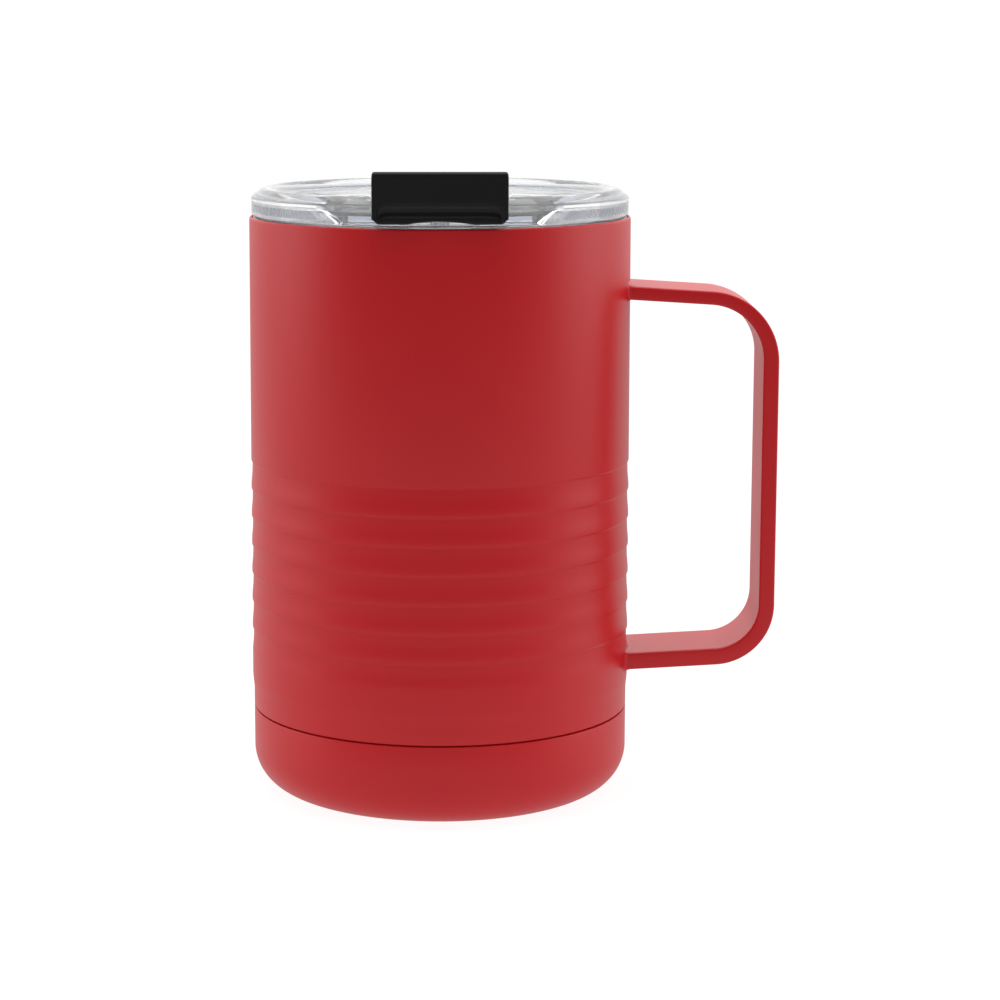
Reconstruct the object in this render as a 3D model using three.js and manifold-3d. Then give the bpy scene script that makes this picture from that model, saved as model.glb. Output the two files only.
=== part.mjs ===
// An insulated travel mug: a double-walled steel cup with a strap handle, a bonded base cap, and a clear
// press-in lid with a black lever that flips up off the sip slot.
// Millimetres, +Z up. The cup's axis is Z, its underside is Z = 0, the handle is on +X and the lid's
// lever points along -Y.
import * as THREE from "three";
import { mergeVertices } from "three/addons/utils/BufferGeometryUtils.js";
import Module from "manifold-3d";

// ---- driving dimensions -------------------------------------------------------------------------
const GAP = 0.3; // between pieces that touch on the real mug
const ROUND = 48; // sides of the large turned pieces
const INNER_ROUND = 36; // sides of the turned pieces that are hidden
const SMALL_ROUND = 20; // sides of the small turned pieces

const BODY_RADIUS = 44; // of the shell at its lip, and of the base cap
const FOOT_RADIUS = 44.3; // the shell widens very slightly down to its foot
const FOOT_Z = 27.5;
const NECK_Z = 23.5; // from here down the shell is as wide as the base cap
const RIM_Z = 134.6; // top of the cup's lip
const SEAM_Z = 19.7; // middle of the line between the shell and the base cap
const SEAM_WIDTH = 0.4;
const SHELL_WALL = 0.6;
const LINER_WALL = 0.5;
const LINER_RADIUS = 40.2; // bore of the cup
const CAP_WALL = 0.7;
const MOUTH_RADIUS = 42.5; // bore at the lip
const FLARE_DEPTH = 7.4; // the bore widens over this depth below the lip

const BASE_CORNER = 10; // radius of the base cap's lower edge
const COLLAR_RADIUS = 43; // the necked end of the shell, which the base cap slides over
const COLLAR_DROP = 6.2;

const RING_COUNT = 7; // grip rings rolled into the shell
const RING_TOP_Z = 78.2;
const RING_PITCH = 6.6;
const RING_DEPTH = 0.28;
const RING_STEP = 0.9; // height of each ring's steep side
const RING_RUNOUT = 4.7; // height over which the lowest ring fades out

const STRAP_WIDTH = 20.6;
const STRAP_REACH = 77.9; // outer face of the handle's grip
const STRAP_GRIP = 3.6; // strap thickness at the grip
// The arms: top face where it meets the shell, lean, thickness and outer radius of the corner.
const STRAP_UPPER = { z: 119.15, slope: -0.065, thickness: 3.1, corner: 16.4 };
const STRAP_LOWER = { z: 33.15, slope: 0.06, thickness: 3.9, corner: 14.2 };
const STRAP_CHAMFER = 0.5;
const WELD_LEG = 0.6;

const FLANGE_RADIUS = 43.45; // the lid's rim, which rests on the cup's lip
const FLANGE_Z = RIM_Z + 0.35;
const CREST_RADIUS = 40;
const CREST_Z = 141.2;
const PLATEAU_Z = 139.3;
const LID_UNDER_Z = 134.7;
const LID_SKIN = 2.1; // wall of the clear moulding
const WELL_Z = 136.8; // floor of the lever's channel and of the drinking well
const WELL_ANGLE = 39; // half the sweep of the drinking well, degrees from -Y
const CHANNEL_HALF = 15.1;
const CHANNEL_BACK_Y = 20;

const HINGE_Y = -4;
const HINGE_Z = 139.6;
const BARREL_RADIUS = 2.4;
const PIN_RADIUS = 1;
const PIN_HALF = 12.8;
const LUG_INNER = 10.6; // the hinge ears stand in the channel, behind the lever's wide front
const LUG_THICK = 2.4;

const LEVER_HALF = 14.75;
const LEVER_FRONT_Y = -45.5;
const LEVER_TOP_Z = 147;
const LEVER_LIP_Z = 135.7; // lower edge of the tab that hangs over the lid's rim

const SLOT = { y: -32, halfLength: 8, radius: 3 };
const VENT = { y: -14, radius: 1.5 };

const PLUG_RADIUS = 39.4;
const PLUG_BORE = 36.6;
const PLUG_BOTTOM_Z = 120.5;
const GROOVE = { radius: 37.9, low: 124.3, high: 128.1 };

// ---- materials ----------------------------------------------------------------------------------
const finish = (color, roughness, metalness, opacity = 1) =>
  new THREE.MeshStandardMaterial({ color, roughness, metalness, opacity, transparent: opacity < 1 });

const redCoat = finish(0xa81f27, 0.5, 0);
const bareSteel = finish(0xb8babd, 0.32, 1);
const foil = finish(0xd9dadc, 0.18, 1);
const sinteredMetal = finish(0x5b5d60, 0.8, 0.6);
const sealGlass = finish(0x6f7a70, 0.2, 0);
const bondRubber = finish(0xd8d5cc, 0.7, 0);
const clearPlastic = finish(0xe6edf2, 0.06, 0, 0.3);
const gasketRubber = finish(0xeef0f0, 0.45, 0, 0.8);
const blackPlastic = finish(0x1b1b1c, 0.55, 0);
const greyRubber = finish(0x5d6063, 0.6, 0);

// ---- shapes and joins ---------------------------------------------------------------------------
const wasm = await Module();
wasm.setup();

// A turned piece about Z. The outline is [radius, z] pairs, counter-clockwise.
function turned(outline, sides = ROUND) {
  const points = outline.map(([radius, z]) => new THREE.Vector2(radius, z));
  return new THREE.LatheGeometry(points, sides).rotateX(Math.PI / 2);
}

// A turned ring: its outline closes on itself.
const ring = (outline, sides) => turned([...outline, outline[0]], sides);

// Points on an arc about (u, v), angles in degrees.
function arc(u, v, radius, from, to, steps = 4) {
  return Array.from({ length: steps + 1 }, (_, i) => {
    const a = THREE.MathUtils.degToRad(from + ((to - from) * i) / steps);
    return [u + radius * Math.cos(a), v + radius * Math.sin(a)];
  });
}

const shapeOf = (outline) => new THREE.Shape(outline.map(([u, v]) => new THREE.Vector2(u, v)));

// A plate pulled from an outline, with chamfered edges that stay inside the outline.
function plate(outline, depth, chamfer = 0) {
  return new THREE.ExtrudeGeometry(shapeOf(outline), {
    depth: depth - 2 * chamfer,
    bevelEnabled: chamfer > 0,
    bevelThickness: chamfer,
    bevelSize: chamfer,
    bevelOffset: -chamfer,
    bevelSegments: 1,
  }).translate(0, 0, chamfer);
}

// An outline in Y and Z, pulled along X and centred on it.
function acrossX(outline, width) {
  const turn = new THREE.Matrix4().makeBasis(
    new THREE.Vector3(0, 1, 0),
    new THREE.Vector3(0, 0, 1),
    new THREE.Vector3(1, 0, 0),
  );
  return plate(outline, width).applyMatrix4(turn).translate(-width / 2, 0, 0);
}

// A rod of the given radius along X.
const rod = (radius, length, y, z) =>
  new THREE.CylinderGeometry(radius, radius, length, SMALL_ROUND).rotateZ(Math.PI / 2).translate(0, y, z);

// A flat-ended slug with round ends, long in X.
function slug(halfLength, radius, y, low, high) {
  const side = halfLength - radius;
  const outline = [...arc(side, 0, radius, -90, 90, 6), ...arc(-side, 0, radius, 90, 270, 6)];
  return plate(outline, high - low).translate(0, y, low);
}

function solid(geometry) {
  const bare = (geometry.index ? geometry.toNonIndexed() : geometry).clone();
  bare.deleteAttribute("normal");
  bare.deleteAttribute("uv");
  const merged = mergeVertices(bare, 1e-3);
  return new wasm.Manifold(
    new wasm.Mesh({
      numProp: 3,
      vertProperties: new Float32Array(merged.attributes.position.array),
      triVerts: new Uint32Array(merged.index.array),
    }),
  );
}

function geometryOf(manifold) {
  const mesh = manifold.getMesh();
  const geometry = new THREE.BufferGeometry();
  geometry.setAttribute("position", new THREE.BufferAttribute(mesh.vertProperties, 3));
  geometry.setIndex(new THREE.BufferAttribute(mesh.triVerts, 1));
  geometry.computeVertexNormals();
  return geometry;
}

const mug = new THREE.Group();
const lid = new THREE.Group();
mug.add(lid);

function addPiece(group, name, geometry, material) {
  const mesh = new THREE.Mesh(geometry, material);
  mesh.name = name;
  group.add(mesh);
}

// ---- the cup ------------------------------------------------------------------------------------
// The painted steel skin: a straight tube with rolled grip rings, a rounded lip and a necked lower end.
function outerShell() {
  const inner = BODY_RADIUS - SHELL_WALL;
  const seamTop = SEAM_Z + SEAM_WIDTH / 2;
  const widening = (FOOT_RADIUS - BODY_RADIUS) / (RIM_Z - FOOT_Z);
  const radiusAt = (z) => BODY_RADIUS + widening * (RIM_Z - z);
  const rings = [];
  for (let i = RING_COUNT - 1; i >= 0; i--) {
    const crest = RING_TOP_Z - i * RING_PITCH;
    const foot = crest - RING_STEP;
    rings.push([radiusAt(foot) - RING_DEPTH, foot], [radiusAt(crest), crest]);
  }
  const lowestCrest = RING_TOP_Z - (RING_COUNT - 1) * RING_PITCH;
  return ring([
    [COLLAR_RADIUS, seamTop - COLLAR_DROP],
    [COLLAR_RADIUS, seamTop],
    [BODY_RADIUS, seamTop],
    [BODY_RADIUS, NECK_Z],
    [FOOT_RADIUS, FOOT_Z],
    [radiusAt(lowestCrest - RING_STEP - RING_RUNOUT), lowestCrest - RING_STEP - RING_RUNOUT],
    ...rings,
    ...arc(inner, RIM_Z - SHELL_WALL, SHELL_WALL, 0, 90, 3),
    [FOOT_RADIUS - SHELL_WALL, FOOT_Z],
    [inner, NECK_Z],
    [inner, seamTop + 1.2],
    [COLLAR_RADIUS - SHELL_WALL, seamTop - 0.3],
    [COLLAR_RADIUS - SHELL_WALL, seamTop - COLLAR_DROP],
  ]);
}

// The bare steel cup that holds the drink: straight bore, flared mouth, round-cornered bottom.
const LINER_FLOOR_Z = 9.8;
const LINER_CORNER = 9.2;

function innerLiner() {
  const outer = LINER_RADIUS + LINER_WALL;
  const corner = LINER_RADIUS - LINER_CORNER;
  const cornerZ = LINER_FLOOR_Z + LINER_CORNER;
  const lipOuter = BODY_RADIUS - SHELL_WALL - GAP;
  return turned([
    [0, LINER_FLOOR_Z - LINER_WALL],
    ...arc(corner, cornerZ, LINER_CORNER + LINER_WALL, -90, 0, 3),
    [outer, RIM_Z - FLARE_DEPTH - 0.6],
    [lipOuter, RIM_Z - 1.2],
    [lipOuter, RIM_Z],
    [MOUTH_RADIUS, RIM_Z],
    [MOUTH_RADIUS, RIM_Z - 1.2],
    [LINER_RADIUS, RIM_Z - FLARE_DEPTH],
    ...arc(corner, cornerZ, LINER_CORNER, 0, -90, 3),
    [0, LINER_FLOOR_Z],
  ]);
}

// Reflective foil wound round the liner inside the vacuum.
function foilWrap() {
  const inner = LINER_RADIUS + LINER_WALL + GAP;
  const outer = inner + 0.3;
  return ring([[inner, 22], [outer, 22], [outer, 126], [inner, 126]], INNER_ROUND);
}

// The dished plate that closes the vacuum jacket, welded to the shell's necked end.
const PLATE_Z = 3.8;
const PLATE_CORNER = 8.7;

function vacuumBottom() {
  const corner = COLLAR_RADIUS - PLATE_CORNER;
  const cornerZ = PLATE_Z + PLATE_CORNER;
  const top = SEAM_Z + SEAM_WIDTH / 2 - COLLAR_DROP - GAP;
  return turned(
    [
      [0, PLATE_Z],
      ...arc(corner, cornerZ, PLATE_CORNER, -90, 0, 3),
      [COLLAR_RADIUS, top],
      [COLLAR_RADIUS - LINER_WALL, top],
      ...arc(corner, cornerZ, PLATE_CORNER - LINER_WALL, 0, -90, 3),
      [0, PLATE_Z + LINER_WALL],
    ],
    INNER_ROUND,
  );
}

// The cup-shaped base cap under the seam, with a shallow groove turned in its flat underside.
function baseCap() {
  const top = SEAM_Z - SEAM_WIDTH / 2;
  const corner = BODY_RADIUS - BASE_CORNER;
  return turned([
    [0, 0],
    [23, 0],
    [23.6, 0.5],
    [25.4, 0.5],
    [26, 0],
    ...arc(corner, BASE_CORNER, BASE_CORNER, -90, 0, 5),
    [BODY_RADIUS, top],
    [BODY_RADIUS - CAP_WALL, top],
    ...arc(corner, BASE_CORNER, BASE_CORNER - CAP_WALL, 0, -90, 4),
    [0, CAP_WALL],
  ]);
}

// The small pieces between the base cap and the liner.
const bondRing = () => {
  const low = CAP_WALL + GAP;
  const high = PLATE_Z - GAP;
  return ring([[26.5, low], [31, low], [31, high], [26.5, high]], INNER_ROUND);
};

const sealBead = () =>
  turned([[0, 2.1], [2.4, 2.3], [3.2, 3], [3.2, PLATE_Z - GAP], [0, PLATE_Z - GAP]], SMALL_ROUND);

const GETTER_X = 16;
const GETTER_Z = PLATE_Z + LINER_WALL + GAP;

const getterHolder = () =>
  turned(
    [[0, 0], [5, 0], [5, 2.4], [4.4, 2.4], [4.4, 0.6], [0, 0.6]],
    SMALL_ROUND,
  ).translate(GETTER_X, 0, GETTER_Z);

const getterPellet = () =>
  turned([[0, 0.9], [4, 0.9], [4, 2.2], [0, 2.2]], SMALL_ROUND).translate(GETTER_X, 0, GETTER_Z);

addPiece(mug, "outer_shell", outerShell(), redCoat);
addPiece(mug, "inner_liner", innerLiner(), bareSteel);
addPiece(mug, "foil_wrap", foilWrap(), foil);
addPiece(mug, "vacuum_bottom", vacuumBottom(), bareSteel);
addPiece(mug, "base_cap", baseCap(), redCoat);
addPiece(mug, "cap_bond_ring", bondRing(), bondRubber);
addPiece(mug, "vacuum_seal_bead", sealBead(), sealGlass);
addPiece(mug, "getter_holder", getterHolder(), bareSteel);
addPiece(mug, "getter_pellet", getterPellet(), sinteredMetal);

// ---- the handle ---------------------------------------------------------------------------------
// A solid cylinder about Z, which trims the pieces that meet the shell.
const shellTrim = (radius) =>
  solid(turned([[0, 0], [radius, 0], [radius, RIM_Z], [0, RIM_Z]]));

// One edge of the bent strap, from its upper end round both corners to its lower end. Both arms lean, so
// each corner is an arc that touches the arm's line and the upright of the grip.
function strapEdge(upperZ, lowerZ, gripX, inset) {
  const end = BODY_RADIUS - 4;
  const upperAngle = THREE.MathUtils.radToDeg(Math.atan(STRAP_UPPER.slope));
  const lowerAngle = THREE.MathUtils.radToDeg(Math.atan(STRAP_LOWER.slope));
  const upperRadius = STRAP_UPPER.corner - inset;
  const lowerRadius = STRAP_LOWER.corner - inset;
  const upperX = gripX - upperRadius;
  const lowerX = gripX - lowerRadius;
  const upperLine = (x) => upperZ + STRAP_UPPER.slope * (x - BODY_RADIUS);
  const lowerLine = (x) => lowerZ + STRAP_LOWER.slope * (x - BODY_RADIUS);
  const upperCentre = upperLine(upperX) - upperRadius * Math.hypot(1, STRAP_UPPER.slope);
  const lowerCentre = lowerLine(lowerX) + lowerRadius * Math.hypot(1, STRAP_LOWER.slope);
  return [
    [end, upperLine(end)],
    ...arc(upperX, upperCentre, upperRadius, 90 + upperAngle, 0, 8),
    ...arc(lowerX, lowerCentre, lowerRadius, 0, -90 + lowerAngle, 8),
    [end, lowerLine(end)],
  ];
}

function handleStrap() {
  const outer = strapEdge(STRAP_UPPER.z, STRAP_LOWER.z - STRAP_LOWER.thickness, STRAP_REACH, 0);
  const inner = strapEdge(
    STRAP_UPPER.z - STRAP_UPPER.thickness,
    STRAP_LOWER.z,
    STRAP_REACH - STRAP_GRIP,
    STRAP_GRIP,
  );
  const strap = plate([...outer.reverse(), ...inner], STRAP_WIDTH, STRAP_CHAMFER)
    .rotateX(Math.PI / 2)
    .translate(0, STRAP_WIDTH / 2, 0);
  return geometryOf(solid(strap).subtract(shellTrim(FOOT_RADIUS + GAP)));
}

// The weld bead round one end of the strap, hugging the shell.
function weld(middleZ, thickness) {
  const rectangle = (halfWidth, halfHeight) => [
    [-halfWidth, -halfHeight],
    [halfWidth, -halfHeight],
    [halfWidth, halfHeight],
    [-halfWidth, halfHeight],
  ];
  const holeHalf = [STRAP_WIDTH / 2 + GAP, thickness / 2 + GAP];
  const frame = shapeOf(rectangle(holeHalf[0] + WELD_LEG, holeHalf[1] + WELD_LEG));
  frame.holes.push(shapeOf(rectangle(...holeHalf)));
  const bar = new THREE.ExtrudeGeometry(frame, { depth: 10, bevelEnabled: false });
  const outward = new THREE.Matrix4().makeBasis(
    new THREE.Vector3(0, 1, 0),
    new THREE.Vector3(0, 0, 1),
    new THREE.Vector3(1, 0, 0),
  );
  bar.applyMatrix4(outward).translate(BODY_RADIUS - 6, 0, middleZ);
  return geometryOf(
    solid(bar)
      .intersect(shellTrim(FOOT_RADIUS + GAP + WELD_LEG))
      .subtract(shellTrim(FOOT_RADIUS + GAP)),
  );
}

addPiece(mug, "handle_strap", handleStrap(), redCoat);
addPiece(
  mug,
  "handle_weld_upper",
  weld(STRAP_UPPER.z - STRAP_UPPER.thickness / 2, STRAP_UPPER.thickness),
  redCoat,
);
addPiece(
  mug,
  "handle_weld_lower",
  weld(STRAP_LOWER.z - STRAP_LOWER.thickness / 2, STRAP_LOWER.thickness),
  redCoat,
);

// ---- the lid ------------------------------------------------------------------------------------
// A wedge about Z, the given angle to each side of -Y.
function frontWedge(angle, low, high) {
  const reach = 60;
  const outline = [[0, 0], ...arc(0, 0, reach, -90 - angle, -90 + angle, 6)];
  return solid(plate(outline, high - low).translate(0, 0, low));
}

// The ears that hold the hinge pin, rounded about it and standing on the channel's floor.
function lug(side) {
  const base = WELL_Z - 1;
  const outline = [
    [HINGE_Y - 5, base],
    [HINGE_Y + 5, base],
    ...arc(HINGE_Y, HINGE_Z, BARREL_RADIUS, 20, 160, 6),
  ];
  const middle = side * (LUG_INNER + LUG_THICK / 2);
  return solid(acrossX(outline, LUG_THICK).translate(middle, 0, 0));
}

// A block round the lever's channel, grown by the given margin.
function channelBlock(margin, low, high) {
  const half = CHANNEL_HALF + margin;
  const back = CHANNEL_BACK_Y + margin;
  const outline = [
    [-half, -34],
    [half, -34],
    ...arc(half - 4, back - 4, 4, 0, 90, 3),
    ...arc(-half + 4, back - 4, 4, 90, 180, 3),
  ];
  return solid(plate(outline, high - low).translate(0, 0, low));
}

// The hollows that keep the moulding's wall even: one under the dished top, beside the channel and the
// well, and a groove under the rolled rim, which stops at each side of the well.
function lidHollows() {
  const low = LID_UNDER_Z - 1;
  const top = PLATEAU_Z - LID_SKIN;
  const dish = solid(turned([[0, low], [34.8, low], [34.8, top - 0.6], [34.2, top], [0, top]]));
  const wellFloor = solid(ring([[27, low - 1], [36, low - 1], [36, top + 1], [27, top + 1]]));
  const rimLow = FLANGE_Z - 1;
  const rim = solid(ring([[39.6, rimLow], [41.6, rimLow], [41.6, 138.2], [39.6, 138.2]]));
  return dish
    .subtract(channelBlock(LID_SKIN, low - 1, top + 1))
    .subtract(wellFloor.intersect(frontWedge(WELL_ANGLE + 3, low - 1, top + 1)))
    .add(rim.subtract(frontWedge(WELL_ANGLE, rimLow - 1, CREST_Z)));
}

// The clear moulding: a rolled rim, a dished top, a channel for the lever that opens into the drinking
// well, the sip slot, the vent hole and the hinge ears.
function lidTop() {
  const body = solid(
    turned([
      [0, LID_UNDER_Z],
      [39.6, LID_UNDER_Z],
      [39.6, FLANGE_Z],
      [42.7, FLANGE_Z],
      [FLANGE_RADIUS, FLANGE_Z + 1.4],
      [FLANGE_RADIUS, 139.2],
      [43.1, 139.8],
      [41.3, 140.9],
      [CREST_RADIUS, CREST_Z],
      [38.2, 140.7],
      [35.5, PLATEAU_Z],
      [0, PLATEAU_Z],
    ]),
  );
  const wellRing = solid(
    ring([
      [29, WELL_Z],
      [36.6, WELL_Z],
      [38.4, 138.6],
      [39.2, CREST_Z + 1],
      [29, CREST_Z + 1],
    ]),
  );
  const slot = solid(slug(SLOT.halfLength, SLOT.radius, SLOT.y, LID_UNDER_Z - 1, WELL_Z + 1));
  const vent = solid(
    new THREE.CylinderGeometry(VENT.radius, VENT.radius, 6, SMALL_ROUND)
      .rotateX(Math.PI / 2)
      .translate(0, VENT.y, LID_UNDER_Z + 2),
  );
  const pinBore = solid(rod(PIN_RADIUS + GAP, 2 * (LUG_INNER + LUG_THICK + 1), HINGE_Y, HINGE_Z));
  return geometryOf(
    body
      .subtract(lidHollows())
      .subtract(wellRing.intersect(frontWedge(WELL_ANGLE, WELL_Z - 1, CREST_Z + 2)))
      .subtract(channelBlock(0, WELL_Z, WELL_Z + 8))
      .add(lug(1))
      .add(lug(-1))
      .subtract(slot)
      .subtract(vent)
      .subtract(pinBore),
  );
}

// The clear skirt welded under the lid, with the gasket's groove.
const lidPlug = () =>
  ring([
    [PLUG_BORE + 0.4, PLUG_BOTTOM_Z],
    [PLUG_RADIUS - 0.5, PLUG_BOTTOM_Z],
    [PLUG_RADIUS, PLUG_BOTTOM_Z + 0.8],
    [PLUG_RADIUS, GROOVE.low],
    [GROOVE.radius, GROOVE.low],
    [GROOVE.radius, GROOVE.high],
    [PLUG_RADIUS, GROOVE.high],
    [PLUG_RADIUS, LID_UNDER_Z - GAP],
    [PLUG_BORE, LID_UNDER_Z - GAP],
    [PLUG_BORE, PLUG_BOTTOM_Z + 0.6],
  ]);

// The silicone gasket: two lips that press on the cup's bore.
function lidGasket() {
  const inner = GROOVE.radius + GAP;
  const lip = LINER_RADIUS - GAP + 0.05;
  const low = GROOVE.low + GAP;
  const high = GROOVE.high - GAP;
  const middle = (low + high) / 2;
  return ring([
    [inner, low],
    [inner + 0.8, low],
    [lip, low + 0.6],
    [lip - 0.65, middle],
    [lip, high - 0.6],
    [inner + 0.8, high],
    [inner, high],
  ]);
}

// The black lever: a wedge with a barrel round the pin and a notch for each ear, a tab that hangs over the
// rim with a finger catch under it, and a boss for the sip seal.
function flipLever() {
  const catchY = LEVER_FRONT_Y + 1;
  const tabBack = -FLANGE_RADIUS - 0.4;
  const outline = [
    [HINGE_Y - 1, HINGE_Z - BARREL_RADIUS],
    ...arc(HINGE_Y, HINGE_Z, BARREL_RADIUS, -90, 97, 8),
    [LEVER_FRONT_Y + 0.9, LEVER_TOP_Z],
    [LEVER_FRONT_Y + 0.25, LEVER_TOP_Z - 0.25],
    [LEVER_FRONT_Y, LEVER_TOP_Z - 0.9],
    [LEVER_FRONT_Y, 139.6],
    [catchY, 138.2],
    [catchY, 137],
    [catchY - 0.4, 136.4],
    [catchY - 0.4, LEVER_LIP_Z],
    [tabBack, LEVER_LIP_Z],
    [tabBack, 139.4],
    [tabBack + 0.4, 140.9],
    [tabBack + 1.8, 141.7],
    [-37, 141.7],
    [-9, 138],
  ];
  const archCentreZ = LEVER_LIP_Z + 0.8 - 29;
  const arch = new THREE.CylinderGeometry(29, 29, 12, 96).translate(0, LEVER_FRONT_Y, archCentreZ);
  const boss = new THREE.BoxGeometry(16, 7, 3).translate(0, SLOT.y, 140.7);
  const notchInner = LUG_INNER - GAP;
  const notch = (side) =>
    solid(new THREE.BoxGeometry(8, 14, 16).translate(side * (notchInner + 4), HINGE_Y + 1.4, HINGE_Z));
  return geometryOf(
    solid(acrossX(outline, 2 * LEVER_HALF))
      .add(solid(boss))
      .subtract(solid(arch))
      .subtract(notch(1))
      .subtract(notch(-1))
      .subtract(solid(rod(PIN_RADIUS + GAP, 40, HINGE_Y, HINGE_Z))),
  );
}

// The silicone pad under the lever: a flange that lies on the channel floor and a plug in the slot.
function sipSeal() {
  const flange = slug(SLOT.halfLength + 1.2, SLOT.radius + 1, SLOT.y, WELL_Z + GAP, 138.9);
  const plug = slug(
    SLOT.halfLength - GAP,
    SLOT.radius - GAP,
    SLOT.y,
    WELL_Z - 0.5,
    WELL_Z + GAP + 0.5,
  );
  return geometryOf(solid(flange).add(solid(plug)));
}

const ventSeal = () =>
  turned(
    [
      [0, WELL_Z - 0.5],
      [VENT.radius - GAP, WELL_Z - 0.5],
      [VENT.radius - GAP, WELL_Z + GAP],
      [2.8, WELL_Z + GAP],
      [2.8, 138],
      [0, 138],
    ],
    SMALL_ROUND,
  ).translate(0, VENT.y, 0);

addPiece(lid, "lid_top", lidTop(), clearPlastic);
addPiece(lid, "lid_plug", lidPlug(), clearPlastic);
addPiece(lid, "lid_gasket", lidGasket(), gasketRubber);
addPiece(lid, "hinge_pin", rod(PIN_RADIUS, 2 * PIN_HALF, HINGE_Y, HINGE_Z), bareSteel);
addPiece(lid, "flip_lever", flipLever(), blackPlastic);
addPiece(lid, "sip_seal", sipSeal(), greyRubber);
addPiece(lid, "vent_seal", ventSeal(), greyRubber);

export default mug;
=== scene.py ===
import math

import bmesh
import bpy
from mathutils import Matrix, Vector


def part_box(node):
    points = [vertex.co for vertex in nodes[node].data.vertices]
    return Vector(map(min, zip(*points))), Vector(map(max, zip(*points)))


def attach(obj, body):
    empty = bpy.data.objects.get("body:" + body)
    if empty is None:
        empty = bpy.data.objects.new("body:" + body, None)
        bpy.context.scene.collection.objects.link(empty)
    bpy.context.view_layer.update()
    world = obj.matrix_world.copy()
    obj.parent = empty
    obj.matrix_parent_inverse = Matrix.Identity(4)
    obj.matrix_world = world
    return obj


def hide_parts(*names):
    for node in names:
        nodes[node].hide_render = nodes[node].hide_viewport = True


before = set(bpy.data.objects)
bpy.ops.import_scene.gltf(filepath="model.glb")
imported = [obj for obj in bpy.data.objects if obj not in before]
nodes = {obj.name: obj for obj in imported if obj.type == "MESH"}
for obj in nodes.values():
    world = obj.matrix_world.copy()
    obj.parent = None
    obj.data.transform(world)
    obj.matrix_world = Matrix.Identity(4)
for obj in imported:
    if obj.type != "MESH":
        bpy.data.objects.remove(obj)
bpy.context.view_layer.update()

mm = 0.001


# ---- Camera ---------------------------------------------------------------------------------------
# A short telephoto on a stand in front of the mug, a little above its rim, looking slightly down.
camera_distance = 639.7 * mm
camera_height = 179.1 * mm
camera_down = 0.1722  # radians below level
camera_lens = 99.4  # millimetres on a 36 mm sensor
camera_shift = 0.06  # leaves room for the handle

camera_data = bpy.data.cameras.new("camera")
camera_data.sensor_width = 36
camera_data.lens = camera_lens
camera_data.shift_x = camera_shift
camera_data.clip_start = 0.05
camera_data.clip_end = 40
camera = bpy.data.objects.new("camera", camera_data)
camera.location = (0, -camera_distance, camera_height)
camera.rotation_euler = (math.pi / 2 - camera_down, 0, 0)
bpy.context.collection.objects.link(camera)
bpy.context.scene.camera = camera


# ---- Studio ---------------------------------------------------------------------------------------
# A white table top in a white tent: bright at the back and sides, dimmer in front where the camera
# stands, with a soft box overhead.
floor_half = 6
floor_colour = (0.15, 0.15, 0.15, 1)
floor_seen = 0.93  # how bright the table top looks
floor_near = 0.58  # how bright it is in reflections, by the mug and out in the room
floor_front = 0.03
soft_boxes = {  # name: (place, size, watts)
    "left_box": ((-1.15, 0.05, 0.35), 0.8, 1.75),
    "right_box": ((1.15, 0.05, 0.35), 0.8, 2.0),
    "top_box": ((0, 0, 1.1), 0.9, 4),
}
room_front = 0.03
room_back = 1.15
room_in_lid = 1.15  # what is seen by way of the clear lid
room_seen = 1.2  # straight on, and straight through the lid
room_soft = 0.42  # the least that reaches a matt surface from any side

floor_bm = bmesh.new()
bmesh.ops.create_grid(floor_bm, x_segments=1, y_segments=1, size=floor_half)
floor_mesh = bpy.data.meshes.new("floor")
floor_bm.to_mesh(floor_mesh)
floor_bm.free()
floor = bpy.data.objects.new("floor", floor_mesh)
bpy.context.collection.objects.link(floor)
floor_paint = bpy.data.materials.new("floor_paint")
floor_paint.use_nodes = True
floor_shader = floor_paint.node_tree.nodes["Principled BSDF"]
floor_shader.inputs["Base Color"].default_value = floor_colour
floor_shader.inputs["Roughness"].default_value = 0.9
floor_shader.inputs["Specular IOR Level"].default_value = 0.0
floor_shader.inputs["Emission Color"].default_value = (1, 1, 1, 1)
floor_tree = floor_paint.node_tree
floor_place = floor_tree.nodes.new("ShaderNodeTexCoord")
floor_split = floor_tree.nodes.new("ShaderNodeSeparateXYZ")
floor_fade = floor_tree.nodes.new("ShaderNodeMapRange")
floor_fade.interpolation_type = "SMOOTHSTEP"
floor_fade.inputs["From Min"].default_value = -0.75
floor_fade.inputs["From Max"].default_value = -0.05
floor_fade.inputs["To Min"].default_value = floor_front
floor_fade.inputs["To Max"].default_value = floor_near
floor_ray = floor_tree.nodes.new("ShaderNodeLightPath")
floor_plain = floor_tree.nodes.new("ShaderNodeMath")
floor_plain.operation = "ADD"
floor_plain.use_clamp = True
floor_pick = floor_tree.nodes.new("ShaderNodeMix")
floor_pick.inputs["B"].default_value = floor_seen
floor_tree.links.new(floor_place.outputs["Object"], floor_split.inputs[0])
floor_tree.links.new(floor_split.outputs["Y"], floor_fade.inputs["Value"])
floor_tree.links.new(floor_ray.outputs["Is Camera Ray"], floor_plain.inputs[0])
floor_tree.links.new(floor_ray.outputs["Transmission Depth"], floor_plain.inputs[1])
floor_tree.links.new(floor_plain.outputs[0], floor_pick.inputs["Factor"])
floor_tree.links.new(floor_fade.outputs["Result"], floor_pick.inputs["A"])
floor_tree.links.new(floor_pick.outputs["Result"], floor_shader.inputs["Emission Strength"])
floor_mesh.materials.append(floor_paint)

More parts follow.
